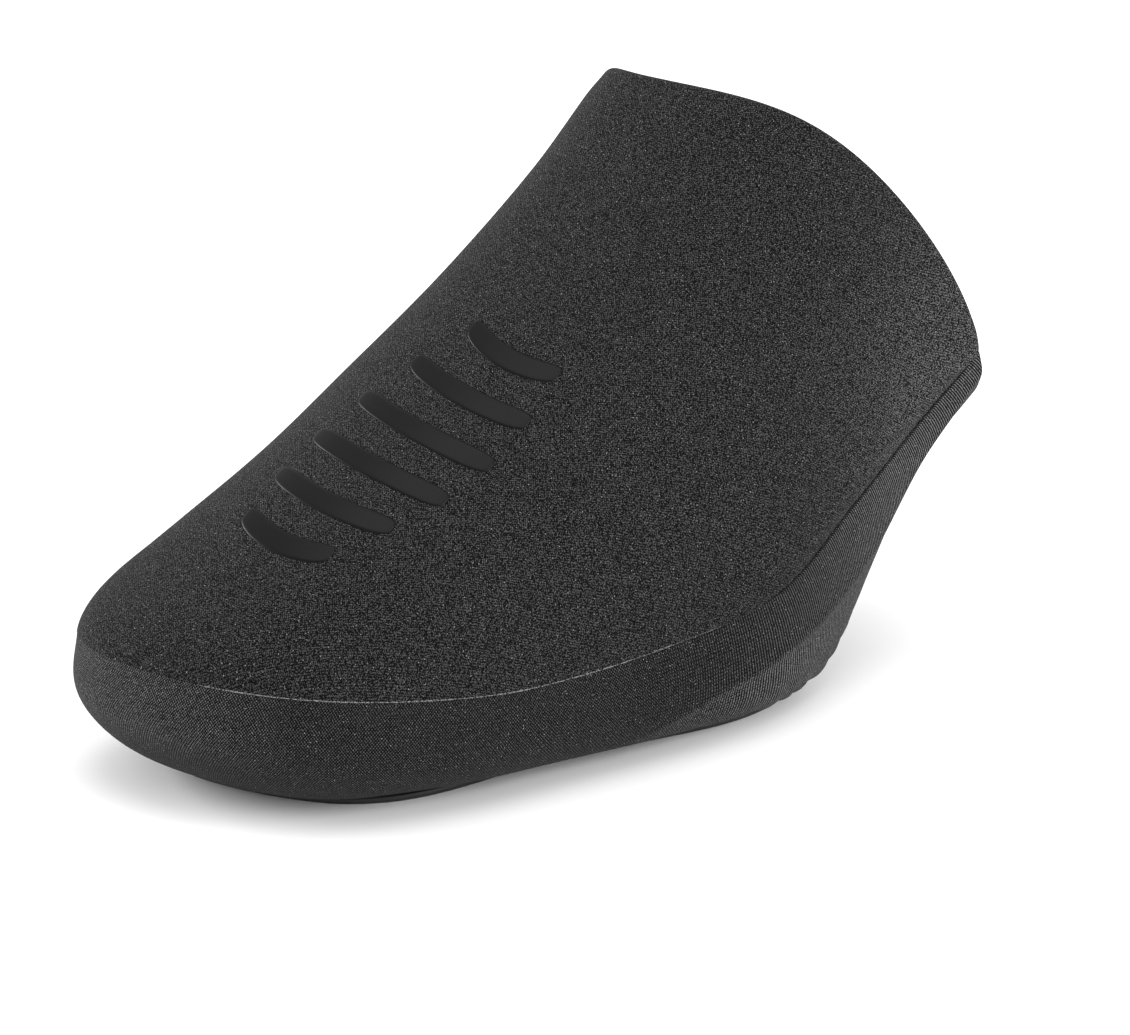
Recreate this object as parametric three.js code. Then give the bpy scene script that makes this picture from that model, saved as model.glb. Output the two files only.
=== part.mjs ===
// Toe cover for a cycling shoe, left foot. A stretch panel is drawn over the toes and the
// instep. A band sewn to it runs round the sides and the toe and turns under the shoe, and a
// rubbered panel with a hole for the cleat closes the front of the underside.
// Millimetres. While it is shaped, y runs back from the tip of the toe, x points to the
// wearer's left, which is the little toe side, and z points up from the floor.

import * as THREE from "three";

// Overall sizes
const length = 162; // tip of the toe to the lower corners of the rear opening
const width = 99; // across the ball of the foot
const height = 108; // floor to the top of the rear opening
const openingSlant = 28; // how far the top of the opening lies ahead of its lower corners

// Top panel
const panelWall = 2.0;
const openingHem = 9; // width of the edge turned in at the rear opening
const openingHemStep = 0.8; // how much that turned edge adds to the wall
const seamGap = 0.3; // between the top panel and the band

// Side band
const bandWall = 1.6;
const bandTuck = 15; // how far the band turns in below the seam, beside the toes
const bandSwell = 1.5; // how far it stands out below the seam
const hemWidth = 7; // flat part of the band that lies under the shoe
const elasticWidth = 4; // elastic sewn into the edge of the hem
const elasticStep = 1.0; // how much the elastic adds to the wall
const rearRise = 45; // height of the hem at the rear corners

// Sole panel
const soleThickness = 1.3;
const soleGap = 0.3; // between the sole panel and the band that lies on it
const toeSpring = 6.0; // how far the underside rises at the tip of the toe
const toeSpringLength = 25; // the rise starts this far behind the tip
const archRise = 0.5; // height of the underside between its two flat spots
const archAhead = 7; // the arch starts this far ahead of the cleat hole
const archBehind = 2; // and ends this far behind it
const cleatHoleLength = 46;
const cleatHoleWidth = 42;
const cleatHoleOffset = 8; // towards the big toe side
const cleatHoleCentre = 75; // behind the tip of the toe
const bridgeWidth = 18; // strip of the sole panel behind the cleat hole
const soleCorner = 12; // radius of the two corners at its rear

// Sections across the foot. at is a share of the length. outer, inner and lean are shares of
// half the width: the seam on the little toe side, the seam on the big toe side, and the
// crown line. crown and seam are shares of the height. power shapes the arch over the foot.
const sections = [
  { at: 0.0, outer: 0.45, inner: 0.94, lean: -0.31, crown: 0.398, seam: 0.275, power: 2.1 },
  { at: 0.15, outer: 0.51, inner: 0.93, lean: -0.29, crown: 0.468, seam: 0.232, power: 2.1 },
  { at: 0.3, outer: 0.68, inner: 0.955, lean: -0.26, crown: 0.56, seam: 0.209, power: 2.0 },
  { at: 0.45, outer: 0.875, inner: 0.98, lean: -0.25, crown: 0.659, seam: 0.224, power: 2.0 },
  { at: 0.6, outer: 1.015, inner: 0.96, lean: -0.25, crown: 0.776, seam: 0.258, power: 1.9 },
  { at: 0.75, outer: 1.0, inner: 0.925, lean: -0.28, crown: 0.904, seam: 0.346, power: 1.85 },
  { at: 0.9, outer: 0.95, inner: 0.91, lean: -0.28, crown: 1.078, seam: 0.438, power: 1.8 },
  { at: 1.0, outer: 0.985, inner: 0.94, lean: -0.245, crown: 1.162, seam: 0.518, power: 1.6 },
];

// Sections of the band and of the sole panel's rim. tuck, swell and hem are shares of the band's
// own sizes, and rim is the share of the way turned in at which the sole panel ends.
const bandSections = [
  { at: 0.0, tuck: 1.1, swell: 2.2, hem: 1.0, rim: 0.68 },
  { at: 0.15, tuck: 1.08, swell: 1.5, hem: 1.0, rim: 0.6 },
  { at: 0.3, tuck: 1.0, swell: 0.9, hem: 1.0, rim: 0.72 },
  { at: 0.45, tuck: 0.77, swell: 0.6, hem: 1.0, rim: 0.8 },
  { at: 0.6, tuck: 0.6, swell: 0.4, hem: 1.0, rim: 0.8 },
  { at: 0.75, tuck: 0.55, swell: 0.4, hem: 1.0, rim: 0.8 },
  { at: 0.9, tuck: 0.6, swell: 0.3, hem: 0.7, rim: 0.8 },
  { at: 1.0, tuck: 0.27, swell: 0.5, hem: 0.4, rim: 0.8 },
];

// The round nose: where its tip lies as a share of half the width, how far back each side and
// the crown are still rounding, as shares of the length, and the power of their curve
const tipLean = -0.42;
const outerNose = 0.28;
const innerNose = 0.124;
const crownNose = 0.228;
const nosePower = 2.2;

// Curves of the rear opening, of the band's profile and of the cleat hole's corners, and the
// hem's climb from the sole to the rear corners.
// at is a share of the way back from the middle of the bridge, and up a share of the rise.
const openingPower = 2.2;
const bandPower = 2.9;
const holePower = 4;
const climb = [
  { at: 0.0, up: 0.0 },
  { at: 0.18, up: 0.04 },
  { at: 0.41, up: 0.33 },
  { at: 0.71, up: 0.73 },
  { at: 1.0, up: 1.0 },
];

// The line under the foot that the band turns in towards: its side place as a share of half the
// width, how far ahead of itself the toe aims, and where that lead ends, as shares of the length
const spineLean = -0.12;
const spineLead = 0.22;
const spineLeadEnd = 0.62;

// Facets
const stepsAlong = 24;
const stepsOver = 32;
const stepsDown = 8;
const stepsRound = 72;
const stepsSole = 7;
const stepsCorner = 5;
const samePlace = 1e-6; // points closer than this are one point

const half = width / 2;
const holeEnd = cleatHoleCentre + cleatHoleLength / 2;
const archStart = cleatHoleCentre - cleatHoleLength / 2 - archAhead;
const archEnd = holeEnd + archBehind;
const soleEnd = holeEnd + bridgeWidth;
const climbStart = soleEnd - bridgeWidth / 2;

// A smooth curve through one column of a table, at the given share
function read(table, column, at) {
  const last = table.length - 1;
  const rate = (i) => (table[i + 1][column] - table[i][column]) / (table[i + 1].at - table[i].at);
  const slope = (i) => {
    if (i === 0) return rate(0);
    if (i === last) return rate(last - 1);
    const share = (table[i].at - table[i - 1].at) / (table[i + 1].at - table[i - 1].at);
    return rate(i) * share + rate(i - 1) * (1 - share);
  };
  let i = 0;
  while (i < last - 1 && at > table[i + 1].at) i += 1;
  const span = table[i + 1].at - table[i].at;
  const s = Math.min(Math.max((at - table[i].at) / span, 0), 1);
  const rise = table[i + 1][column] - table[i][column];
  return (
    table[i][column] +
    rise * (3 * s * s - 2 * s * s * s) +
    span * slope(i) * (s * s * s - 2 * s * s + s) +
    span * slope(i + 1) * (s * s * s - s * s)
  );
}

// 0 at the tip of the toe and 1 from the given share of the length on, as a round quarter
function nose(y, reach) {
  const s = Math.min(y / (reach * length), 1);
  return (1 - (1 - s) ** nosePower) ** (1 / nosePower);
}

const section = (column, y) => read(sections, column, y / length);
const bandSection = (column, y) => read(bandSections, column, y / length);
const tipX = tipLean * half;
const seamOuterX = (y) => tipX + (section("outer", y) * half - tipX) * nose(y, outerNose);
const seamInnerX = (y) => tipX + (-section("inner", y) * half - tipX) * nose(y, innerNose);
const seamZ = (y) => section("seam", y) * height;

// Top panel: an arch across the foot, from the outer seam (angle 0) to the inner one (pi)
function panelPoint(y, angle) {
  const round = nose(y, crownNose);
  const crownX = tipX + (section("lean", y) * half - tipX) * round;
  const crownZ = seamZ(0) + (section("crown", y) * height - seamZ(0)) * round;
  const sideX = Math.cos(angle) >= 0 ? seamOuterX(y) : seamInnerX(y);
  const power = 2 / section("power", y);
  const across = Math.abs(Math.cos(angle)) ** power;
  const up = Math.sin(angle) ** power;
  return new THREE.Vector3(crownX + (sideX - crownX) * across, y, seamZ(y) + (crownZ - seamZ(y)) * up);
}

// The top panel ends at the rear opening, which slants forward over the instep
const openingY = (angle) => length - openingSlant * Math.sin(angle) ** openingPower;

// Steps back from the tip of the toe, close together on the nose, with two at the turned hem
function stepsBack(end) {
  const steps = [];
  for (let i = 0; i <= stepsAlong; i += 1) {
    steps.push((end - openingHem) * (1 - Math.cos((i / stepsAlong) * (Math.PI / 2))));
  }
  steps.push(end - openingHem + openingHemStep);
  steps.push(end);
  return steps;
}

// Top of the sole panel, with the spring under the toe and the low arch behind it
function soleTopZ(y) {
  const spring = toeSpring * Math.max(1 - y / toeSpringLength, 0) ** 2;
  const s = Math.min(Math.max((y - archStart) / (archEnd - archStart), 0), 1);
  return soleThickness + spring + archRise * Math.sin(Math.PI * s) ** 2;
}

// The way that the band turns in, level, from a point of the seam towards the line underfoot
function inwardFrom(x, y) {
  const lead = spineLead * length * Math.max(1 - y / (spineLeadEnd * length), 0) ** 2;
  return new THREE.Vector2(spineLean * half - x, lead).normalize();
}

// Side band: side is 1 for the outer side and -1 for the inner, y is the place on the seam,
// quarter goes from 0 at the seam to 1 where the band lies flat, and flat is the hem beyond it
function bandPoint(side, y, quarter, flat) {
  const x = side > 0 ? seamOuterX(y) : seamInnerX(y);
  const inward = inwardFrom(x, y);
  const angle = (quarter * Math.PI) / 2;
  const drop = Math.sin(angle) ** (2 / bandPower);
  const turnIn = bandSection("tuck", y) * bandTuck * (1 - Math.cos(angle) ** (2 / bandPower));
  const swell = bandSection("swell", y) * bandSwell * Math.sin(Math.PI * drop);
  const move = turnIn - swell + bandSection("hem", y) * flat;
  const back = y + inward.y * move;
  const climbed = rearRise * read(climb, "up", (y - climbStart) / (length - climbStart));
  const low = soleTopZ(back) + soleGap + climbed;
  const top = seamZ(y) - seamGap;
  return new THREE.Vector3(x + inward.x * move, back, top - (top - low) * drop);
}

// A grid's outward directions, from each point's neighbours. Points on a level edge keep theirs
// level, so that the two sides of a seam face each other.
function directions(grid, isLevel) {
  const lastRow = grid.length - 1;
  const lastColumn = grid[0].length - 1;
  return grid.map((row, i) =>
    row.map((point, j) => {
      const along = grid[Math.min(i + 1, lastRow)][j].clone().sub(grid[Math.max(i - 1, 0)][j]);
      const across = row[Math.min(j + 1, lastColumn)].clone().sub(row[Math.max(j - 1, 0)]);
      const outward = along.cross(across);
      if (isLevel(i, j)) outward.z = 0;
      return outward.normalize();
    }),
  );
}

// The inside of a wall: each point of the outside moved in by the thickness of its row
function insideOf(grid, outward, wall) {
  return grid.map((row, i) => row.map((point, j) => point.clone().addScaledVector(outward[i][j], -wall(i))));
}

// A closed wall between an outside and an inside grid. A ring joins its last column to its
// first. Edges that have shrunk to one point, as at the tip of the toe, get no faces.
function closedWall(outside, inside, ring) {
  const places = [];
  const face = (a, b, c) => {
    if (Math.min(a.distanceTo(b), b.distanceTo(c), c.distanceTo(a)) < samePlace) return;
    for (const p of [a, b, c]) places.push(p.x, p.y, p.z);
  };
  const patch = (a, b, c, d) => {
    face(a, b, c);
    face(a, c, d);
  };
  const rows = outside.length - 1;
  const columns = outside[0].length - (ring ? 0 : 1);
  const next = (j) => (j + 1) % outside[0].length;
  for (let i = 0; i < rows; i += 1) {
    for (let j = 0; j < columns; j += 1) {
      const k = next(j);
      patch(outside[i][j], outside[i + 1][j], outside[i + 1][k], outside[i][k]);
      patch(inside[i][j], inside[i][k], inside[i + 1][k], inside[i + 1][j]);
    }
  }
  for (let j = 0; j < columns; j += 1) {
    const k = next(j);
    patch(outside[0][j], outside[0][k], inside[0][k], inside[0][j]);
    patch(outside[rows][k], outside[rows][j], inside[rows][j], inside[rows][k]);
  }
  for (let i = 0; i < rows && !ring; i += 1) {
    patch(outside[i + 1][0], outside[i][0], inside[i][0], inside[i + 1][0]);
    patch(outside[i][columns], outside[i + 1][columns], inside[i + 1][columns], inside[i][columns]);
  }
  const geometry = new THREE.BufferGeometry();
  geometry.setAttribute("position", new THREE.Float32BufferAttribute(places, 3));
  geometry.computeVertexNormals();
  return geometry;
}

function topPanel() {
  const arches = [];
  for (let j = 0; j <= stepsOver; j += 1) {
    const angle = (j / stepsOver) * Math.PI;
    arches.push(stepsBack(openingY(angle)).map((y) => panelPoint(y, angle)));
  }
  const outside = arches[0].map((first, i) => arches.map((line) => line[i]));
  const outward = directions(outside, (i, j) => i === 0 || j === 0 || j === stepsOver);
  for (const direction of outward[0]) direction.set(0, -1, 0);
  const wall = (i) => panelWall + (i > stepsAlong ? openingHemStep : 0);
  return closedWall(outside, insideOf(outside, outward, wall), false);
}

function sideBand() {
  const back = stepsBack(length);
  const seam = back.slice(1).reverse().map((y) => [-1, y]);
  seam.push(...back.map((y) => [1, y]));
  const down = [];
  for (let i = 0; i <= stepsDown; i += 1) down.push([i / stepsDown, 0]);
  const elasticEdge = hemWidth - elasticWidth;
  down.push([1, elasticEdge], [1, elasticEdge + elasticStep], [1, hemWidth]);
  const outside = down.map(([quarter, flat]) => seam.map(([side, y]) => bandPoint(side, y, quarter, flat)));
  const outward = directions(outside, (i) => i === 0);
  const wall = (i) => bandWall + (i > stepsDown + 1 ? elasticStep : 0);
  return closedWall(outside, insideOf(outside, outward, wall), false);
}

// The rim of the sole panel, from its rear corner on the inner side round the toe to the outer
// one. The rays from the cleat hole's centre end on it.
function soleRim() {
  const places = stepsBack(length).filter((y) => y < soleEnd - soleCorner).map((y) => [y, 0]);
  for (let i = 0; i <= stepsCorner; i += 1) {
    const turn = ((i / stepsCorner) * Math.PI) / 2;
    places.push([soleEnd - soleCorner * (1 - Math.sin(turn)), soleCorner * (1 - Math.cos(turn))]);
  }
  const point = (side, y, cut) => {
    const seam = bandPoint(side, y, 0, 0);
    const rim = seam.lerp(bandPoint(side, y, 1, 0), bandSection("rim", y));
    return new THREE.Vector2(rim.x - side * cut, rim.y);
  };
  const inner = places.slice(1).reverse().map(([y, cut]) => point(-1, y, cut));
  return [...inner, ...places.map(([y, cut]) => point(1, y, cut))];
}

function solePanel() {
  const rim = soleRim();
  const centre = new THREE.Vector2(-cleatHoleOffset, cleatHoleCentre);
  const grid = [];
  for (let i = 0; i <= stepsSole; i += 1) grid.push([]);
  for (let j = 0; j < stepsRound; j += 1) {
    const angle = (j / stepsRound) * 2 * Math.PI;
    const ray = new THREE.Vector2(Math.cos(angle), Math.sin(angle));
    const wide = Math.abs((2 * ray.x) / cleatHoleWidth) ** holePower;
    const long = Math.abs((2 * ray.y) / cleatHoleLength) ** holePower;
    const hole = (wide + long) ** (-1 / holePower);
    const reach = reachOf(rim, centre, ray);
    for (let i = 0; i <= stepsSole; i += 1) {
      const out = hole + ((reach - hole) * i) / stepsSole;
      const y = centre.y + ray.y * out;
      grid[i].push(new THREE.Vector3(centre.x + ray.x * out, y, soleTopZ(y)));
    }
  }
  const below = grid.map((row) => row.map((p) => new THREE.Vector3(p.x, p.y, p.z - soleThickness)));
  return closedWall(grid, below, true);
}

// How far a ray from the centre runs before it crosses the closed outline
function reachOf(outline, centre, ray) {
  let reach = 0;
  outline.forEach((a, i) => {
    const b = outline[(i + 1) % outline.length];
    const edge = new THREE.Vector2(b.x - a.x, b.y - a.y);
    const from = new THREE.Vector2(a.x - centre.x, a.y - centre.y);
    const across = ray.cross(edge);
    const share = from.cross(ray) / across;
    if (share >= 0 && share <= 1) reach = Math.max(reach, from.cross(edge) / across);
  });
  return reach;
}

const cloth = new THREE.MeshStandardMaterial({ color: 0x353637, roughness: 0.95, metalness: 0 });
const ribbedCloth = new THREE.MeshStandardMaterial({ color: 0x3a3b3c, roughness: 0.95, metalness: 0 });
const rubber = new THREE.MeshStandardMaterial({ color: 0x2a2b2c, roughness: 0.7, metalness: 0 });

const toeCover = new THREE.Group();

function addPiece(name, geometry, material) {
  const piece = new THREE.Mesh(geometry, material);
  piece.name = name;
  toeCover.add(piece);
}

addPiece("upper_panel", topPanel(), cloth);
addPiece("side_band", sideBand(), ribbedCloth);
addPiece("sole_panel", solePanel(), rubber);

// The origin is at the middle of the box round the whole cover, on the floor
const box = new THREE.Box3().setFromObject(toeCover);
const middle = box.getCenter(new THREE.Vector3());
for (const piece of toeCover.children) piece.geometry.translate(-middle.x, -middle.y, -box.min.z);

export default toeCover;
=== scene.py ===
# Looks of a stretch toe cover for the left cycling shoe, in a pale studio
# Shapes are worked out in millimetres, with x towards the little toe, y back from the tip of the toe
# and z up from the floor, and are moved into the frame and to metres when their meshes are made.

from math import pi, radians

import bpy
import numpy as np
from mathutils import Matrix, Vector


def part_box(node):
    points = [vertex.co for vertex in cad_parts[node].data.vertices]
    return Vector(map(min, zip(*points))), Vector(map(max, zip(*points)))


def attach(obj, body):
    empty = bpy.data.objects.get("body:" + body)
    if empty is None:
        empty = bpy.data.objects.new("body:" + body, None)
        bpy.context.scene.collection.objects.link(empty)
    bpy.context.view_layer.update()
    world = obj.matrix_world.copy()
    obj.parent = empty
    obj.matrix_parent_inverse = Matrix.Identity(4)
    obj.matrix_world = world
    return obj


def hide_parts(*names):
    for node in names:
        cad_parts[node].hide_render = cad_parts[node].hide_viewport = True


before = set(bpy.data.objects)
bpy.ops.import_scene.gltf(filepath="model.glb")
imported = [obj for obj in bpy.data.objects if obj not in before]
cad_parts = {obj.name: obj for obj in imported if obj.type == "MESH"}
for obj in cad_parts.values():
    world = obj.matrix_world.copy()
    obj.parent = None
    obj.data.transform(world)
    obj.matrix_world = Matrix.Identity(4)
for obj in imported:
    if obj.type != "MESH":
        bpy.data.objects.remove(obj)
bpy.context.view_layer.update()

# Camera
# It stands in front of the little toe side, above the toe, and looks back along the cover. A long lens
# keeps the sides nearly parallel, and a small roll tips the toe down.

camera_aim = Vector((0.0088, 0.0037, 0.0377))
camera_azimuth, camera_elevation, camera_roll = 41.36, 22.58, -1.76
camera_distance = 0.95

camera = bpy.data.objects.new("camera", bpy.data.cameras.new("camera"))
camera.data.sensor_width = 36.0
camera.data.lens = 161.0
turn = (Matrix.Rotation(radians(camera_azimuth), 4, "Z")
        @ Matrix.Rotation(radians(90 - camera_elevation), 4, "X")
        @ Matrix.Rotation(radians(camera_roll), 4, "Z"))
camera.matrix_world = Matrix.Translation(camera_aim) @ turn @ Matrix.Translation((0, 0, camera_distance))
bpy.context.scene.collection.objects.link(camera)
bpy.context.scene.camera = camera

# Top panel
# Stretch knit bonded to thin foam, cut in one shape and drawn over the toes and the instep. Its lower
# edge is sewn to the side band all the way round, and its rear edge is turned in and bonded flat.

foot_length, foot_width, foot_height = 162.0, 99.0, 108.0
opening_slant, opening_power = 27.2, 2.32
panel_wall, opening_hem, opening_hem_step = 2.0, 9.0, 0.8
half_width = foot_width / 2

# Sections across the foot. at is a share of the length, outer, inner and lean are shares of half the
# width for the two seams and the crown line, and crown and seam are shares of the height.
foot_sections = {
    "at": (0.0, 0.15, 0.3, 0.45, 0.6, 0.75, 0.9, 1.0),
    "outer": (0.45, 0.51, 0.68, 0.875, 1.015, 1.0, 0.968, 0.99),
    "inner": (0.94, 0.93, 0.955, 0.98, 0.96, 0.925, 0.913, 0.935),
    "lean": (-0.31, -0.29, -0.26, -0.25, -0.25, -0.23, -0.23, -0.265),
    "crown": (0.398, 0.468, 0.56, 0.659, 0.776, 0.913, 1.073, 1.127),
    "seam": (0.275, 0.232, 0.209, 0.224, 0.258, 0.346, 0.438, 0.518),
    "power": (2.1, 2.1, 2.0, 2.0, 1.9, 1.865, 1.8, 1.55),
}
crown_power, crown_breadth = 1.97, 0.5
tip_x = -0.42 * half_width
outer_nose, inner_nose, crown_nose, nose_power = 0.28, 0.124, 0.228, 2.2

# The seam from the toe to the rear, in mm: ledge is how far the panel's edge stands out over the band, and
# groove is how deep the panel dips where the seam is drawn in. roll is the soft fold above the groove, and
# fill is how far both edges are pushed out level, so that the toe curves on across the seam.
seam_look = {
    "at": (0.0, 0.06, 0.3, 0.5, 0.62, 0.8, 0.95, 1.0),
    "ledge": (0.02, 0.08, 0.1, 0.06, 0.0, 0.0, 0.0, 0.0),
    "groove": (0.0, 0.0, 0.0, 0.1, 0.4, 0.6, 0.5, 0.1),
    "roll": (0.0, 0.0, 0.0, 0.05, 0.25, 0.4, 0.3, 0.1),
    "fill": (1.8, 1.45, 0.5, 0.25, 0.1, 0.0, 0.0, 0.0),
}
ledge_width, groove_width, roll_width, fill_width = 3.0, 1.1, 4.5, 6.0
ledge_start = 0.05  # share of the length over which the ledge and the fold grow from the tip


def along_table(table, column, at):
    """A smooth curve through one column: between two rows a + (b - a)(3s^2 - 2s^3), plus the slopes of
    the two rows times s^3 - 2s^2 + s and s^3 - s^2. A row's slope is weighed from the spans beside it"""
    x, value = np.array(table["at"]), np.array(table[column])
    rate = np.diff(value) / np.diff(x)
    share = (x[1:-1] - x[:-2]) / (x[2:] - x[:-2])
    slope = np.concatenate([rate[:1], rate[1:] * share + rate[:-1] * (1 - share), rate[-1:]])
    i = np.clip(np.searchsorted(x, at) - 1, 0, len(x) - 2)
    span = x[i + 1] - x[i]
    s = np.clip((at - x[i]) / span, 0, 1)
    return (value[i] + (value[i + 1] - value[i]) * (3 * s**2 - 2 * s**3)
            + span * slope[i] * (s**3 - 2 * s**2 + s) + span * slope[i + 1] * (s**3 - s**2))


def rounded_nose(y, reach):
    """0 at the tip of the toe, 1 from reach times the length on: (1 - (1 - s)^p)^(1/p)"""
    s = np.clip(y / (reach * foot_length), 0, 1)
    return (1 - (1 - s) ** nose_power) ** (1 / nose_power)


def seam_line(side, y):
    """x and z of the seam at y: its share of half the width, drawn in to the tip by the nose curve"""
    outer = tip_x + (along_table(foot_sections, "outer", y / foot_length) * half_width - tip_x) \
        * rounded_nose(y, outer_nose)
    inner = tip_x + (-along_table(foot_sections, "inner", y / foot_length) * half_width - tip_x) \
        * rounded_nose(y, inner_nose)
    height = along_table(foot_sections, "seam", y / foot_length) * foot_height
    return np.where(side > 0, outer, inner), height


def panel_surface(y, angle):
    """An arch across the foot from the outer seam (angle 0) to the inner one (pi). x goes from the crown
    line to the seam as |cos|^(2/power), and z from the seam to the crown as sin^(2/power). The power eases
    to that of the crown as exp(-(cos / breadth)^2)"""
    nose = rounded_nose(y, crown_nose)
    tip_z = foot_sections["seam"][0] * foot_height
    crown_x = tip_x + (along_table(foot_sections, "lean", y / foot_length) * half_width - tip_x) * nose
    crown_z = tip_z + (along_table(foot_sections, "crown", y / foot_length) * foot_height - tip_z) * nose
    seam_x, seam_z = seam_line(np.cos(angle), y)
    power = along_table(foot_sections, "power", y / foot_length)
    power = power + (crown_power - power) * np.exp(-((np.cos(angle) / crown_breadth) ** 2))
    across, up = np.abs(np.cos(angle)) ** (2 / power), np.abs(np.sin(angle)) ** (2 / power)
    return np.stack([crown_x + (seam_x - crown_x) * across, y, seam_z + (crown_z - seam_z) * up], -1)


def run_length(points, axis):
    """Length along a grid of points from its first row or column: the running sum of the steps"""
    steps = np.linalg.norm(np.diff(points, axis=axis), axis=-1)
    return np.insert(np.cumsum(steps, axis=axis), 0, 0, axis=axis)


def unit(vectors):
    """Each vector divided by its length"""
    return vectors / np.maximum(np.linalg.norm(vectors, axis=-1, keepdims=True), 1e-9)


def outward_of(points):
    """The normal of a grid: the cross product of its steps along the rows and along the columns"""
    return unit(np.cross(np.gradient(points, axis=0), np.gradient(points, axis=1)))


def even_back(count, closeness=0.1):
    """Shares of the way back from the toe, closest together at the tip: s^2 (1 + c) / (s + c)"""
    s = np.linspace(0, 1, count)
    return s**2 * (1 + closeness) / (s + closeness)


def bump_at(distance, width):
    """A soft bell: exp(-(distance / width)^2)"""
    return np.exp(-((distance / width) ** 2))


def filled(distance, share, outward):
    """The level push at the seam, in the surface's own direction in plan: fill exp(-distance / width)"""
    push = along_table(seam_look, "fill", share) * np.exp(-distance / fill_width)
    return unit(outward * (1, 1, 0)) * push[..., None]


def ease(value, start, end):
    """0 before start, 1 after end, and 3s^2 - 2s^3 between"""
    s = np.clip((value - start) / (end - start), 0, 1)
    return s * s * (3 - 2 * s)


def rim(sheet, lip, axis, last):
    """Rows or columns added past an edge of the middle sheet, of its half thickness and of its maps. They
    round the wall off: the middle moves on by lip sin(a) as the half thickness shrinks by cos(a)"""
    middle, half, maps = sheet
    turns = np.linspace(0, pi / 2, rim_turns + 1)[1:]

    def take(values, inward):
        return np.take(values, [-1 - inward if last else inward], axis=axis)

    step = take(middle, 0) - take(middle, 1)
    way = unit(step)
    added = np.concatenate([take(middle, 0) + way * lip * np.sin(a) for a in turns], axis=axis)
    thinner = np.concatenate([take(half, 0) * np.cos(a) for a in turns], axis=axis)
    map_step = (take(maps, 0) - take(maps, 1)) * (1, 1, 0, 0)
    map_step = map_step / np.maximum(np.linalg.norm(step, axis=-1, keepdims=True), 1e-6)
    further = np.concatenate([take(maps, 0) + map_step * (lip * np.sin(a) + take(half, 0) * (1 - np.cos(a)))
                              for a in turns], axis=axis)
    pairs = ((middle, added), (half, thinner), (maps, further))
    if last:
        return [np.concatenate([old, new], axis=axis) for old, new in pairs]
    return [np.concatenate([np.flip(new, axis), old], axis=axis) for old, new in pairs]


def grid_faces(rows, columns, start, flipped):
    """Quads of a grid whose points are numbered row by row from start"""
    i, j = np.meshgrid(np.arange(rows - 1), np.arange(columns - 1), indexing="ij")
    a = start + (i * columns + j).ravel()
    quads = np.stack([a, a + columns, a + columns + 1, a + 1], -1)
    return quads[:, ::-1] if flipped else quads


def add_piece(name, sheets, materials):
    """A welded mesh from grids of points. Each sheet is its points in mm, its maps (weave u and v in mm,
    then place u and v), whether its faces are flipped, and its material's number"""
    points = np.concatenate([grid.reshape(-1, 3) for grid, *_ in sheets])
    maps = np.concatenate([values.reshape(-1, 4) for _, values, *_ in sheets])
    starts = np.cumsum([0] + [grid.shape[0] * grid.shape[1] for grid, *_ in sheets])
    quads = np.concatenate([grid_faces(*grid.shape[:2], start, flipped)
                            for (grid, _, flipped, _), start in zip(sheets, starts)])
    finish = np.repeat([sheet[3] for sheet in sheets],
                       [(grid.shape[0] - 1) * (grid.shape[1] - 1) for grid, *_ in sheets])
    _, first, welded = np.unique(np.round(points / weld_step).astype(np.int64), axis=0,
                                 return_index=True, return_inverse=True)
    corners = welded.reshape(-1)[quads]
    kept = corners != np.roll(corners, 1, axis=1)
    whole = kept.sum(1) >= 3
    sides = kept[whole].sum(1)
    loops = corners[whole][kept[whole]]
    mesh = bpy.data.meshes.new(name)
    mesh.vertices.add(len(first))
    mesh.vertices.foreach_set("co", ((points[first] + to_frame) * 0.001).astype(np.float32).ravel())
    mesh.loops.add(len(loops))
    mesh.loops.foreach_set("vertex_index", loops.astype(np.int32))
    mesh.polygons.add(len(sides))
    mesh.polygons.foreach_set("loop_start", np.concatenate([[0], np.cumsum(sides)[:-1]]).astype(np.int32))
    mesh.polygons.foreach_set("material_index", finish[whole].astype(np.int32))
    mesh.update(calc_edges=True)
    loop_maps = maps[quads[whole][kept[whole]]].astype(np.float32)
    mesh.uv_layers.new(name="weave").uv.foreach_set("vector", loop_maps[:, :2].ravel())
    mesh.uv_layers.new(name="place").uv.foreach_set("vector", loop_maps[:, 2:].ravel())
    mesh.validate()
    mesh.shade_smooth()
    for material in materials:
        mesh.materials.append(material)
    piece = bpy.data.objects.new(name, mesh)
    bpy.context.scene.collection.objects.link(piece)
    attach(piece, "root")
    return piece


def linear(colour):
    """sRGB hex to linear RGBA"""
    parts = [int(colour[i:i + 2], 16) / 255 for i in (1, 3, 5)]
    return [c / 12.92 if c <= 0.04045 else ((c + 0.055) / 1.055) ** 2.4 for c in parts] + [1.0]


def add_node(tree, kind, inputs=None, output=0, **settings):
    """Adds a node, sets its options, gives each input a value or another node's output, and returns the
    output that is asked for"""
    node = tree.nodes.new(kind)
    for option, value in settings.items():
        setattr(node, option, value)
    for socket, value in (inputs or {}).items():
        if isinstance(value, bpy.types.NodeSocket):
            tree.links.new(value, node.inputs[socket])
        else:
            node.inputs[socket].default_value = value
    return node.outputs[output] if node.outputs else None


def empty_material(name):
    """A new material and its node tree, with no nodes in it yet"""
    material = bpy.data.materials.new(name)
    material.use_nodes = True
    material.node_tree.nodes.clear()
    return material, material.node_tree


weld_step = 1e-4  # mm, points closer together than this are one
rim_turns = 6  # rows or columns that round off an edge

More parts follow.
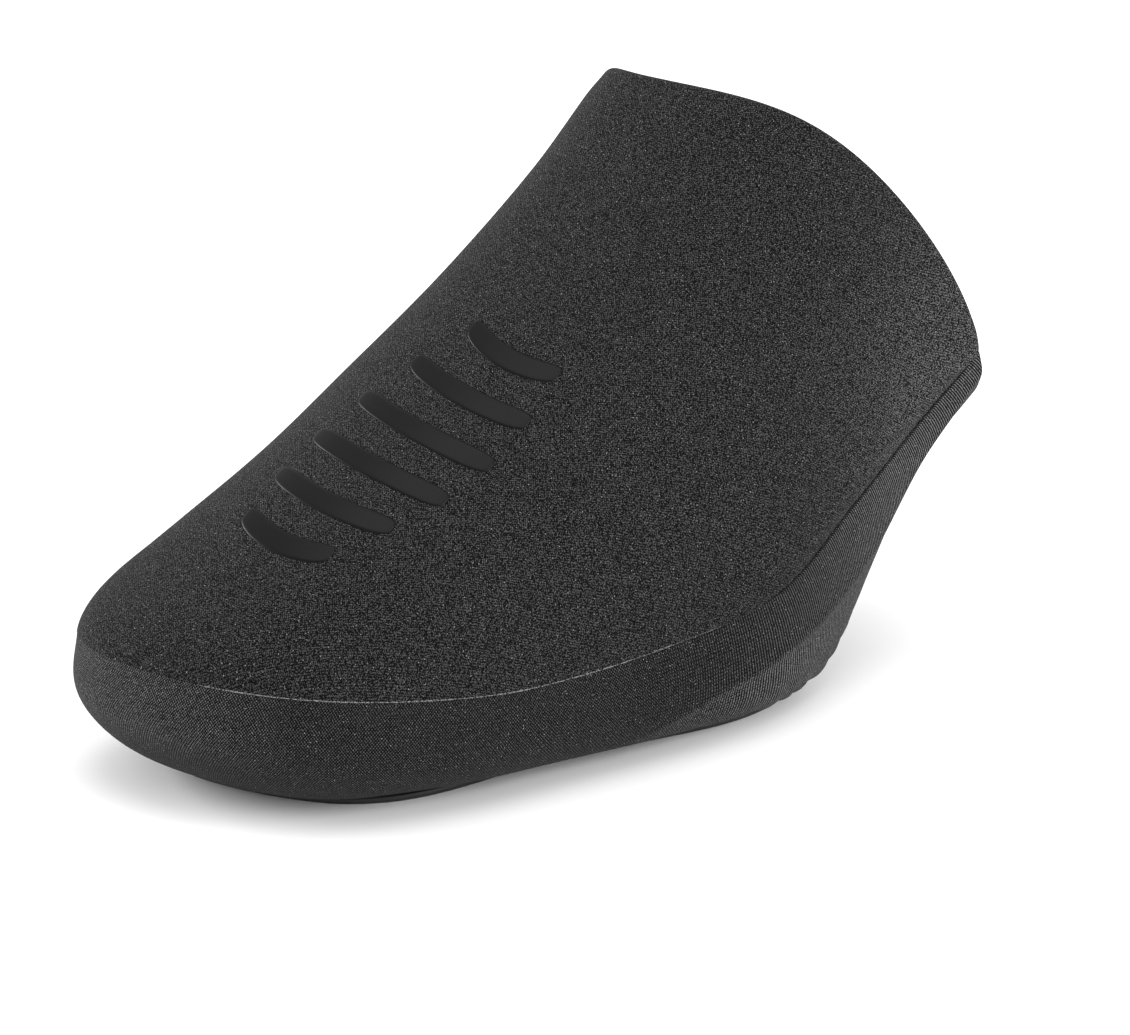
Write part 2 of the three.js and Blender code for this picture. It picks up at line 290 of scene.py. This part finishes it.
panel_rows, panel_columns, dense_columns, crown_rows = 165, 200, 1201, 400
short_run = 40.0  # mm, where a section is shorter than this its edge columns lie closer together
edge_droop, edge_droop_width, edge_droop_angle, edge_droop_breadth = 0.5, 3.0, 1.8, 0.6
seam_end_lip, opening_lip, lip_rise = 0.8, (panel_wall + opening_hem_step) / 2, (0.05, 0.4)
seam_lip, seam_end_grip, grip_from_end = 0.1, 0.3, (6.0, 2.0)
near_seam = np.array([0.0, 0.12, 0.3, 0.55, 0.85, 1.2, 1.6, 2.1])  # mm, columns that draw the seam's edge
panel_light_start, panel_light_end, panel_light_height = 105.0, 150.0, 45.0  # mm, where the rear of the panel is painted paler near the seams, as painted light

dense_angle = np.linspace(0, pi, dense_columns)
share_back = even_back(panel_rows)[1:, None]


def lip_at(angle):
    """How far the edge of the opening is rounded off: less near the seam, so that panel and band end level.
    It grows as the sine of the angle does"""
    return seam_end_lip + (opening_lip - seam_end_lip) * ease(np.sin(angle), *lip_rise)


def grip_at(column):
    """How far a sewn edge reaches past the seam: further at the rear end, where both edges lie open"""
    start, end = (foot_length - distance for distance in grip_from_end)
    return seam_lip + seam_end_grip * ease(column[..., 1:2], start, end)


def back_at(share, angle):
    """y of the points a share of the way back along the panel: share (length - slant sin^power - lip)"""
    return share * (foot_length - opening_slant * np.sin(angle) ** opening_power - lip_at(angle))


dense = panel_surface(back_at(share_back, dense_angle), dense_angle[None] + 0 * share_back)
dense_run = run_length(dense, 1)
full_run = dense_run[:, -1:]
even_columns = np.linspace(0, 1, panel_columns - 2 * len(near_seam) + 2)[None]
edge = np.minimum(near_seam, full_run * near_seam / short_run)
first_even = edge[:, -1:]
wanted = np.concatenate([edge[:, :-1], first_even + (full_run - 2 * first_even) * even_columns,
                         full_run - edge[:, -2::-1]], 1)
angle = np.stack([np.interp(w, run, dense_angle) for w, run in zip(wanted, dense_run)])
angle = np.concatenate([angle[:1], angle])
share_back = np.concatenate([[[0.0]], share_back])
back = back_at(share_back, angle)
panel = panel_surface(back, angle)

across_run = run_length(panel, 1)
from_tip = run_length(panel, 0)
from_seam = np.minimum(np.minimum(across_run, across_run[:, -1:] - across_run), from_tip)

# The weave's map: v is the length along the crown line, and u is what the run across the panel has left
crown_y = np.linspace(0, foot_length, crown_rows)
weave_v = np.interp(back, crown_y, run_length(panel_surface(crown_y, 0 * crown_y + pi / 2), 0))
weave_step = np.diff(across_run, axis=1) ** 2 - np.diff(weave_v, axis=1) ** 2
weave_u = np.insert(np.cumsum(np.sqrt(np.maximum(weave_step, 0)), axis=1), 0, 0, axis=1)
weave_u -= np.stack([np.interp(pi / 2, a, u) for a, u in zip(angle, weave_u)])[:, None]
# Painted light: the rear of the panel is painted paler towards the seams, in place of the light from the
# right-rear
painted_light = ease(back, panel_light_start, panel_light_end) * ease(panel_light_height - from_seam, 0, panel_light_height)
panel_maps = np.stack([weave_u, weave_v, painted_light, 0 * back], -1)

low, high = (np.array(corner) * 1000 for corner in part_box("upper_panel"))
to_frame = np.array([high[0] - panel[..., 0].max(), low[1], 0.0])

outward = outward_of(panel)
outward[0] = (0, -1, 0)
share = back / foot_length
relief = (along_table(seam_look, "ledge", share) * bump_at(from_seam, ledge_width)
          + along_table(seam_look, "roll", share) * bump_at(from_seam - roll_width, roll_width / 2))
relief *= ease(share, 0.0, ledge_start)
to_edge = back[-1:] - back
drooping = bump_at(angle - edge_droop_angle, edge_droop_breadth)
relief -= edge_droop * bump_at(to_edge, edge_droop_width) * drooping
wall = panel_wall + opening_hem_step * ease(opening_hem - to_edge, -opening_hem_step, 0)
push = filled(from_seam, share, outward)
dip = along_table(seam_look, "groove", share) * bump_at(from_seam, groove_width)
outside = panel + push + outward * relief[..., None] - unit(outward * (1, 1, 0)) * dip[..., None]
inside = panel + push - outward * wall[..., None]
panel_edges = [np.concatenate([outside[:, k], outward[:, k]], -1) for k in (0, -1)]
middle, half_wall = (outside + inside) / 2, np.linalg.norm(outside - inside, axis=-1) / 2
panel_sheet = rim((middle, half_wall[..., None], panel_maps), lip_at(angle[-1:, :, None]), 0, True)
panel_sheet = rim(panel_sheet, grip_at(panel_sheet[0][:, :1]), 1, False)
middle, half_wall, maps = rim(panel_sheet, grip_at(panel_sheet[0][:, -1:]), 1, True)
middle[0, :rim_turns] = middle[0, rim_turns]
middle[0, -rim_turns:] = middle[0, -rim_turns - 1]
panel_outward = np.pad(outward, ((0, rim_turns), (rim_turns, rim_turns), (0, 0)), "edge")

ribs_start, ribs_end, front_ribs = 0.38, 0.62, 0.1
drift_per_mm, drift_mm = 0.45, 0.14
fibres_per_mm, fibre_low, fibre_high = 4.2, 0.38, 0.62
specks_per_mm, speck_low, speck_high, speck_cover = 3.6, 0.84, 0.9, 0.6
# The light grey of the specks is a painted glint of stray fibres catching the light
stitch_depth_mm, full_tone, fibre_glint = 0.1, 0.8, "#bababa"


# Charcoal stretch knit: small staggered stitches of dark grey yarn with nearly black gaps, matt and
# slightly hairy, so it pales where it turns away. Here and there a stray fibre catches the light: light
# grey specks painted into the colour as glints. The stitches are drawn about a tenth wider than real ones,
# which would blur away at this size.
def knit(name, yarn, gap, pale_core_and_painted_light, stitch_wide, stitch_long, rib, even, cover=0.0):
    """A material of stitches cos(u) cos(v) on the piece's own map that turn to ribs cos(u), up to the share
    rib, towards the rear. even is the share of the stitches against plain noise, and cover is how far the
    yarn hides the gaps. The place map holds the share of the paler colour, and the share of the way back.
    On the top panel and the side band the paler colour is painted light and sheen; on the cut edge it is
    the light grey foam core"""
    material, tree = empty_material(name)
    weave = add_node(tree, "ShaderNodeUVMap", uv_map="weave")
    solid = add_node(tree, "ShaderNodeTexCoord", output="Object")
    place = add_node(tree, "ShaderNodeUVMap", uv_map="place")
    pale = add_node(tree, "ShaderNodeSeparateXYZ", {0: place}, "X")
    way_back = add_node(tree, "ShaderNodeSeparateXYZ", {0: place}, "Y")
    ribs = add_node(tree, "ShaderNodeMapRange",
                    {0: way_back, 1: ribs_start, 2: ribs_end, 3: front_ribs, 4: rib})
    drift = add_node(tree, "ShaderNodeTexNoise", {"Vector": weave, "Scale": drift_per_mm, "Detail": 2.0},
                     "Color", noise_dimensions="2D")
    drift = add_node(tree, "ShaderNodeVectorMath", {0: drift, 1: (0.5, 0.5, 0.5)}, operation="SUBTRACT")
    drift = add_node(tree, "ShaderNodeVectorMath", {0: drift, "Scale": drift_mm}, operation="SCALE")
    placed = add_node(tree, "ShaderNodeVectorMath", {0: weave, 1: drift}, operation="ADD")
    along_u = add_node(tree, "ShaderNodeSeparateXYZ", {0: placed}, "X")
    along_v = add_node(tree, "ShaderNodeSeparateXYZ", {0: placed}, "Y")
    wave_u = add_node(tree, "ShaderNodeMath", {0: along_u, 1: 2 * pi / stitch_wide}, operation="MULTIPLY")
    wave_u = add_node(tree, "ShaderNodeMath", {0: wave_u}, operation="COSINE")
    wave_v = add_node(tree, "ShaderNodeMath", {0: along_v, 1: 2 * pi / stitch_long}, operation="MULTIPLY")
    wave_v = add_node(tree, "ShaderNodeMath", {0: wave_v}, operation="COSINE")
    dots = add_node(tree, "ShaderNodeMath", {0: wave_u, 1: wave_v}, operation="MULTIPLY")
    stitch = add_node(tree, "ShaderNodeMix", {0: ribs, 2: dots, 3: wave_u}, data_type="FLOAT")
    fibre = add_node(tree, "ShaderNodeTexNoise",
                     {"Vector": solid, "Scale": fibres_per_mm * 1000, "Detail": 0.0})
    fibre = add_node(tree, "ShaderNodeMapRange",
                     {0: fibre, 1: fibre_low, 2: fibre_high, 3: -1.0, 4: 1.0})
    height = add_node(tree, "ShaderNodeMix", {0: even, 2: fibre, 3: stitch}, data_type="FLOAT")
    tone = add_node(tree, "ShaderNodeMapRange", {0: height, 1: -cover, 2: full_tone - cover / 2})
    yarn_and_painted_light = add_node(tree, "ShaderNodeMix", {0: pale, 6: linear(yarn), 7: linear(pale_core_and_painted_light)}, 2,
                     data_type="RGBA")
    cloth = add_node(tree, "ShaderNodeMix", {0: tone, 6: linear(gap), 7: yarn_and_painted_light}, 2, data_type="RGBA")
    speck = add_node(tree, "ShaderNodeTexNoise", {"Vector": weave, "Scale": specks_per_mm, "Detail": 0.0},
                     noise_dimensions="2D")
    speck = add_node(tree, "ShaderNodeMapRange", {0: speck, 1: speck_low, 2: speck_high, 4: speck_cover})
    cloth = add_node(tree, "ShaderNodeMix", {0: speck, 6: cloth, 7: linear(fibre_glint)}, 2,
                     data_type="RGBA")
    bump = add_node(tree, "ShaderNodeBump",
                    {"Height": height, "Distance": stitch_depth_mm * 0.001, "Strength": 0.5})
    shader = add_node(tree, "ShaderNodeBsdfPrincipled",
                      {"Base Color": cloth, "Roughness": 0.92, "Specular IOR Level": 0.05, "Normal": bump,
                       "Sheen Weight": 0.035, "Sheen Roughness": 0.5})
    add_node(tree, "ShaderNodeOutputMaterial", {"Surface": shader})
    return material


# Top panel knit: its paler colour is painted light, laid on the rear of the panel near the seams
panel_knit = knit("stretch_knit", "#484848", "#080808", "#686868", 0.52, 0.58, 0.1, 0.45)

# Foam backing: the inside of the cloth, an even dark grey with a soft coarse grain
panel_back = knit("foam_backing", "#4b4b4b", "#2b2b2b", "#4b4b4b", 1.2, 1.2, 0.1, 0.5)

panel_piece = add_piece("upper_panel_cloth", [
    (middle + panel_outward * half_wall, maps, False, 0),
    (middle - panel_outward * half_wall, maps, True, 1)], [panel_knit, panel_back])
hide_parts("upper_panel")

# Side band
# A strip of finer ribbed knit round the sides and the toe. It turns under the shoe and ends in a hem
# that an elastic gathers, so its edge is puckered. The hem's fold shows as a soft crease.

band_wall, band_tuck, band_swell, band_power = 1.6, 15.0, 1.5, 2.9
hem_width, elastic_width, elastic_step, elastic_bevel = 7.0, 4.0, 1.0, 1.0
seam_gap, rear_rise = 0.08, 45.0
sole_thickness, sole_gap, toe_spring, toe_spring_length, arch_rise = 1.3, 0.3, 6.0, 25.0, 0.5
hole_length, hole_width, hole_offset, hole_centre, hole_power = 46.0, 42.0, 8.0, 75.0, 4
bridge_width, sole_corner = 18.0, 12.0
arch_ahead, arch_behind = 7.0, 2.0
arch_start = hole_centre - hole_length / 2 - arch_ahead
arch_end = hole_centre + hole_length / 2 + arch_behind
sole_end = hole_centre + hole_length / 2 + bridge_width
climb_start = sole_end - bridge_width / 2
spine_x, spine_lead, spine_lead_end = -0.12 * half_width, 0.22 * foot_length, 0.62 * foot_length

band_look = {
    "at": (0.0, 0.15, 0.3, 0.45, 0.6, 0.75, 0.9, 1.0),
    "tuck": (1.1, 1.08, 1.0, 0.77, 0.6, 0.55, 0.6, 0.27),
    "swell": (2.2, 1.5, 0.9, 0.6, 0.4, 0.4, 0.3, 0.5),
    "hem": (1.0, 1.0, 1.0, 1.0, 1.0, 1.0, 0.7, 0.15),
    "rim": (0.95, 0.6, 0.8, 0.94, 0.96, 0.96, 0.96, 0.96),
}
hem_climb = {"at": (0.0, 0.18, 0.41, 0.71, 1.0), "up": (0.0, 0.04, 0.33, 0.73, 1.0)}

# The crease lies this far below the seam, in mm. Its height fades out towards the toe, and the cloth below
# it lies deeper by crease_drop.
crease_look = {
    "at": (0.0, 0.43, 0.52, 0.6, 0.72, 0.8, 0.9, 1.0),
    "below": (19.0, 18.0, 13.3, 12.4, 14.2, 13.0, 8.0, 3.0),
    "height": (0.0, 0.08, 0.2, 0.3, 0.32, 0.3, 0.25, 0.1),
}
crease_width, crease_drop, drop_width, drop_grows = 1.3, 0.35, 3.0, (0.42, 0.55)

# The gathers are folds of the hem, less deep inside, that start below the crease. Their pitch wanders by
# two slower waves.
gather_pitch, gather_depth, gather_inside, gather_start, gather_width = 5.2, 0.22, 0.6, 7.0, 10.0
gather_grows, wander, wander_pitch, wander_radian = (0.02, 0.2), 1.6, 17.0, 4.1

# The ribs are square to the seam at a lean of 1, and turn upright over rib_lean_reach mm below it
rib_lean, rib_lean_reach = 1.4, 14.0

# Shares of painted light in a paler yarn colour: painted sheen on the hem below the crease, where the cloth
# turns away, and painted light on the rear and on the tip
hem_sheen, hem_sheen_grows, hem_sheen_edge = 0.75, (0.36, 0.5), (-0.5, 1.5)
band_rear_light, band_rear_light_grows = 0.6, (0.62, 0.85)
tip_light, tip_light_end, tip_light_low, tip_light_fade = 0.75, 0.07, 20.0, 10.0


def sole_top(y):
    """Height of the sole panel's top: its thickness, the spring under the toe, and a low arch"""
    spring = toe_spring * np.maximum(1 - y / toe_spring_length, 0) ** 2
    s = np.clip((y - arch_start) / (arch_end - arch_start), 0, 1)
    return sole_thickness + spring + arch_rise * np.sin(pi * s) ** 2


def band_surface(side, y, quarter, flat):
    """A rounded drop from the seam: down as sin^(2/power), in as 1 - cos^(2/power) of a quarter turn,
    less a swell of sin(pi drop). It moves in towards the line underfoot, and flat is the hem beyond"""
    seam_x, seam_z = seam_line(side, y)
    lead = spine_lead * np.maximum(1 - y / spine_lead_end, 0) ** 2
    way = unit(np.stack([spine_x - seam_x, lead], -1))
    share = y / foot_length
    drop = np.sin(quarter * pi / 2) ** (2 / band_power)
    turned = 1 - np.cos(quarter * pi / 2) ** (2 / band_power)
    turn_in = along_table(band_look, "tuck", share) * band_tuck * turned
    swell = along_table(band_look, "swell", share) * band_swell * np.sin(pi * drop)
    move = turn_in - swell + along_table(band_look, "hem", share) * flat
    moved_y = y + way[..., 1] * move
    climbed = rear_rise * along_table(hem_climb, "up", (y - climb_start) / (foot_length - climb_start))
    low = sole_top(moved_y) + sole_gap + climbed
    top = seam_z - seam_gap
    return np.stack([seam_x + way[..., 0] * move, moved_y, top - (top - low) * drop], -1)


band_rows, band_drops, band_flats, ends_closer = 261, 54, 8, 1.4
rear_lip, usual_drop = band_wall / 2, 30.0  # mm, the usual drop sets how close the top columns lie
way_back = np.concatenate([-even_back(band_rows)[:0:-1], even_back(band_rows)])[:, None]
near_top = 2 / pi * np.arcsin((near_seam / usual_drop) ** (band_power / 2))
steps = np.linspace(0, 1, band_drops + 1)[1:]
steps = steps**ends_closer / (steps**ends_closer + (1 - steps) ** ends_closer)
steps = near_top[-1] + (1 - near_top[-1]) * steps
quarter = np.concatenate([near_top, steps, np.ones(band_flats)])[None]
hem_steps = np.linspace(0, hem_width - rear_lip, band_flats + 1)[1:]
flat = np.concatenate([0 * near_top, 0 * steps, hem_steps])[None]
side, back = np.where(way_back < 0, -1.0, 1.0), np.abs(way_back) * (foot_length - rear_lip)
side, back, quarter, flat = np.broadcast_arrays(side, back, quarter, flat)
band = band_surface(side, back, quarter, flat)
below = run_length(band, 1)
round_run = run_length(band, 0)
round_run = round_run[:, :1] + 0 * below
share = back / foot_length
outward = -outward_of(band)

crease = below - along_table(crease_look, "below", share)
crease_height = along_table(crease_look, "height", share)
gather = ease(crease, gather_start, gather_start + gather_width) * ease(share, *gather_grows)
wandering = wander * np.sin(2 * pi * round_run / wander_pitch)
wave = np.cos(2 * pi * round_run / gather_pitch + wandering + np.sin(round_run / wander_radian))
relief = (crease_height * bump_at(crease, crease_width)
          - crease_drop * ease(crease, 0, drop_width) * ease(share, *drop_grows)
          + gather_depth * gather * wave)
elastic_top = hem_width - elastic_width
wall = band_wall + elastic_step * ease(flat, elastic_top - elastic_bevel, elastic_top)
push = filled(below, share, outward)
outside = band + push + outward * relief[..., None]
inside = band + push - outward * (wall - gather_inside * gather_depth * gather * wave)[..., None]
middle, half_wall = (outside + inside) / 2, np.linalg.norm(outside - inside, axis=-1, keepdims=True) / 2
# Painted light: the hem is painted paler as sheen, and the rear and the tip are painted paler as light from
# the side lamps
painted_hem_sheen = hem_sheen * (ease(crease, *hem_sheen_edge) * ease(share, *hem_sheen_grows))
near_tip = ease(tip_light_end - share, 0, tip_light_end)
painted_tip_light = tip_light * near_tip * ease(tip_light_low - below, 0, tip_light_fade)
painted_light = band_rear_light * ease(share, *band_rear_light_grows) + painted_tip_light
seam_rise = rib_lean * (np.gradient(band[:, 0, 2]) / np.gradient(round_run[:, 0]))[:, None]
leaned = rib_lean_reach * (1 - np.exp(-below / rib_lean_reach))
band_maps = np.stack([round_run - leaned * seam_rise, below * np.sqrt(1 - seam_rise**2),
                      np.maximum(painted_hem_sheen, painted_light), share], -1)
sheet = rim((middle, half_wall, band_maps), rear_lip, 0, True)
sheet = rim(sheet, rear_lip, 0, False)
sheet = rim(sheet, grip_at(sheet[0][:, :1]), 1, False)
middle, half_wall, maps = rim(sheet, rear_lip, 1, True)
band_outward = np.pad(outward, ((rim_turns, rim_turns), (rim_turns, rim_turns), (0, 0)), "edge")

# Ribbed knit: fine ribs that run down from the seam, more regular than the top panel's stitches. Its paler
# colour is painted light: painted sheen on the hem, and painted light at the rear and the tip.
band_knit = knit("ribbed_knit", "#4d4d4d", "#080808", "#767676", 0.54, 0.72, 0.88, 0.76)
band_piece = add_piece("side_band_cloth", [
    (middle + band_outward * half_wall, maps, True, 0),
    (middle - band_outward * half_wall, maps, False, 1)], [band_knit, panel_back])
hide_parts("side_band")

# Sole panel
# Black rubbered cloth under the toes, with the hole for the cleat and a bridge behind it. It is sewn
# under the band's hem, and its edges are cut clean.

sole_rows, sole_columns, corner_rows, rear_columns = 150, 24, 12, 30
sole_lip = 0.45


def sole_rim(side, y, cut):
    """The outline of the sole panel: the table's share of the way that the band turns in, less the cut
    of its rear corners"""
    seam = band_surface(side, y, 0 * y, 0 * y)
    turned = band_surface(side, y, 0 * y + 1, 0 * y)
    rim_share = along_table(band_look, "rim", y / foot_length)[:, None]
    line = (seam + (turned - seam) * rim_share)[:, :2]
    return line - np.stack([side * cut, 0 * y], -1)


turns = np.linspace(0, pi / 2, corner_rows)
rim_y = np.concatenate([even_back(sole_rows) * (sole_end - sole_corner),
                        sole_end - sole_corner * (1 - np.sin(turns[1:]))])
rim_cut = np.concatenate([np.zeros(sole_rows), sole_corner * (1 - np.cos(turns[1:]))])
outer_side, inner_side = (sole_rim(side + 0 * rim_y, rim_y, rim_cut) for side in (1.0, -1.0))
rear_edge = outer_side[-1] + (inner_side[-1] - outer_side[-1]) * np.linspace(0, 1, rear_columns)[1:-1, None]
outline = np.concatenate([outer_side, rear_edge, inner_side[::-1]])
centre = np.array([-hole_offset, hole_centre])
ray = unit(outline - centre)
hole = (np.abs(2 * ray[:, 0] / hole_width) ** hole_power
        + np.abs(2 * ray[:, 1] / hole_length) ** hole_power) ** (-1 / hole_power)
start, end = centre + ray * (hole + sole_lip)[:, None], outline - ray * sole_lip
plan = start[:, None] + (end - start)[:, None] * np.linspace(0, 1, sole_columns)[None, :, None]
sole = np.concatenate([plan, (sole_top(plan[..., 1]) - sole_thickness / 2)[..., None]], -1)
sole_maps = np.concatenate([plan, plan], -1)
sheet = rim((sole, np.full(sole.shape[:2] + (1,), sole_thickness / 2), sole_maps), sole_lip, 1, False)
middle, half_wall, maps = rim(sheet, sole_lip, 1, True)


# Rubbered cloth: black, smooth and satin, with a fine cast grain
def rubber(name, colour, roughness, grain_mm, depth_mm, specular):
    """A smooth dark rubber with a fine noise grain of the given size and depth"""
    material, tree = empty_material(name)
    place = add_node(tree, "ShaderNodeTexCoord", output="Object")
    grain = add_node(tree, "ShaderNodeTexNoise", {"Vector": place, "Scale": 1000 / grain_mm, "Detail": 2.0})
    bump = add_node(tree, "ShaderNodeBump",
                    {"Height": grain, "Distance": depth_mm * 0.001, "Strength": 0.7})
    shader = add_node(tree, "ShaderNodeBsdfPrincipled",
                      {"Base Color": linear(colour), "Roughness": roughness, "Normal": bump,
                       "Specular IOR Level": specular})
    add_node(tree, "ShaderNodeOutputMaterial", {"Surface": shader})
    return material


sole_rubber = rubber("rubbered_cloth", "#252525", 0.5, 0.5, 0.03, 0.3)
down = np.array([0.0, 0.0, -1.0])
sole_piece = add_piece("sole_panel_rubber", [
    (middle + down * half_wall, maps, True, 0),
    (middle - down * half_wall, maps, False, 0)], [sole_rubber])
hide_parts("sole_panel")

# Seam edge
# The cut edge of the top panel, where its paler core shows as a thin ragged line round the toe. Towards
# the rear it lies at the bottom of the seam's groove, and its colour there is painted nearly black as the
# shade in it.

edge_radius, edge_sides, edge_step, edge_stop = 0.12, 10, 0.4, 2.0

# The edge lies sunk round the tip, for longer on the big toe side. Its pale colour gives way to painted
# shade, the shade of the groove, by edge_end, a share of the length.
edge_sunk, edge_rise, tip_bare, far_bare = 0.4, 20.0, 2.0, 16.0
edge_end, edge_fade, fade_wave, fade_per_mm = 0.6, 0.25, 0.04, 0.6


def ragged_at(run):
    """The cut edge's thickness against its mean: 1 plus a quick wave, whose phase and height wander by two
    slower ones, plus a slow wave"""
    quick = 0.35 * np.sin(2.3 * run + 2 * np.sin(0.31 * run)) * np.sin(0.83 * run)
    return 1 + quick + 0.2 * np.sin(0.37 * run)


both_sides = np.concatenate([panel_edges[1][::-1], panel_edges[0][1:]])
both_sides = both_sides[both_sides[:, 1] < foot_length - edge_stop]
run = run_length(both_sides, 0)
tip_at = run[both_sides[:, 1].argmin()]
at = np.arange(0, run[-1], edge_step)
path = np.stack([np.interp(at, run, both_sides[:, k]) for k in range(6)], -1)
line, away = path[:, :3], unit(path[:, 3:])
tangent = unit(np.gradient(line, axis=0))
upward = unit(np.cross(tangent, away))
bare = tip_bare + far_bare * (at < tip_at)
depth = edge_sunk - edge_sunk * ease(np.abs(at - tip_at), bare, bare + edge_rise)
# Share of the pale core colour along the edge; the rest is painted groove shade
pale_core_share = 1 - ease(line[:, 1] / foot_length + fade_wave * np.sin(fade_per_mm * at),
                   edge_end - edge_fade, edge_end)
centre_line = line - away * depth[:, None] - np.array([0, 0, seam_gap / 2])
around = np.linspace(0, 2 * pi, edge_sides + 1)[None, :, None]
bead = centre_line[:, None] + edge_radius * ragged_at(at)[:, None, None] * (
    np.cos(around) * away[:, None] + np.sin(around) * upward[:, None])
edge_maps = np.stack(np.broadcast_arrays(at[:, None], around[..., 0], pale_core_share[:, None], 0), -1)

# Cut edge: broken light grey foam where it shows, and painted nearly black, as the groove's shade, where it
# lies in the groove
cut_edge = knit("cut_edge", "#1c1c1c", "#101010", "#7c7c7c", 1.3, 2.0, 0.1, 0.3, 0.8)
edge_piece = add_piece("seam_edge", [(bead, edge_maps, False, 0)], [cut_edge])

# Print on the toe
# Six bars of smooth black gel print across the toes, longest in the middle, each a thin raised film

bar_count, bar_first, bar_last = 6, 27.0, 79.0
bar_middle_x, bar_shift, bar_bow, bar_thickness, bar_sunk = -2.0, 10.0, 3.0, 0.2, 0.1
bar_reach, bar_width, shortest_bar, bar_swing = 16.5, 2.4, 0.45, (0.12, 0.76)
bar_rows, bar_columns, point_halvings = 61, 13, 24


def panel_point(x, y):
    """The point of the top panel over a point in plan: its angle is found by halving the span"""
    low, high = 0 * x, 0 * x + pi
    for _ in range(point_halvings):
        middle = (low + high) / 2
        beyond = panel_surface(y, middle)[..., 0] > x
        low, high = np.where(beyond, middle, low), np.where(beyond, high, middle)
    return panel_surface(y, low)


# Gel print: a film as smooth as cast rubber, nearly black, with a faint gloss
gel = rubber("gel_print", "#0a0a0a", 0.35, 0.8, 0.004, 0.12)

# s runs along a bar and t across it, both from -1 to 1. The ends are rounded by (1 - s^8)^(1/3), and the
# film thins out at its edges by the roots of 1 - t^6 and 1 - s^30.
bar_sheets = []
s, t = np.meshgrid(np.linspace(-1, 1, bar_rows), np.linspace(-1, 1, bar_columns), indexing="ij")
for number in range(bar_count):
    share = number / (bar_count - 1)
    centre_y = bar_first + (bar_last - bar_first) * share
    length = np.sin(pi * (bar_swing[0] + bar_swing[1] * share))
    reach = bar_reach * (shortest_bar + (1 - shortest_bar) * length)
    x = bar_middle_x + (share - 0.5) * bar_shift + s * reach
    y = centre_y - bar_bow * (1 - s**2) + t * bar_width * (1 - np.abs(s) ** 8) ** (1 / 3)
    base = panel_point(x, y)
    normal = outward_of(base)
    film = (bar_thickness + bar_sunk) * (1 - np.abs(t) ** 6) ** 0.5 * (1 - np.abs(s) ** 30) ** 0.5
    sunk = base - normal * bar_sunk
    bar_maps = np.zeros(s.shape + (4,))
    bar_sheets += [(sunk + normal * film[..., None], bar_maps, False, 0), (sunk, bar_maps, True, 0)]
print_piece = add_piece("toe_print", bar_sheets, [gel])

# Studio
# A white floor that runs out of sight, white air all round, and three large soft lights, in metres and
# watts.

floor_half, paper_white, air_white = 3.0, "#f6f6f6", "#ffffff"
air_strength, lights_aim = 0.9, Vector((0, 0, 0.04))
floor_mesh = bpy.data.meshes.new("floor")
floor_mesh.from_pydata([(-floor_half, -floor_half, 0), (floor_half, -floor_half, 0),
                        (floor_half, floor_half, 0), (-floor_half, floor_half, 0)], [], [(0, 1, 2, 3)])
floor = bpy.data.objects.new("floor", floor_mesh)
bpy.context.scene.collection.objects.link(floor)

# White paper: matt, and just under full white
paper = bpy.data.materials.new("white_paper")
paper.use_nodes = True
paper.node_tree.nodes["Principled BSDF"].inputs["Base Color"].default_value = linear(paper_white)
paper.node_tree.nodes["Principled BSDF"].inputs["Roughness"].default_value = 0.9
floor_mesh.materials.append(paper)

world = bpy.data.worlds.new("studio")
bpy.context.scene.world = world
world.use_nodes = True
world.node_tree.nodes["Background"].inputs["Color"].default_value = linear(air_white)
world.node_tree.nodes["Background"].inputs["Strength"].default_value = air_strength

for name, place, size, power in (("light_left", (-1.5, -0.55, 0.5), 0.9, 27.0),
                                 ("light_right", (1.3, 0.2, 0.6), 0.9, 15.0),
                                 ("light_top", (0.1, 0.0, 1.4), 1.2, 7.0)):
    light = bpy.data.objects.new(name, bpy.data.lights.new(name, "AREA"))
    light.data.shape = "DISK"
    light.data.size = size
    light.data.energy = power
    light.location = place
    light.rotation_euler = (lights_aim - light.location).to_track_quat("-Z", "Y").to_euler()
    bpy.context.scene.collection.objects.link(light)

bpy.context.scene.view_settings.view_transform = "Standard"
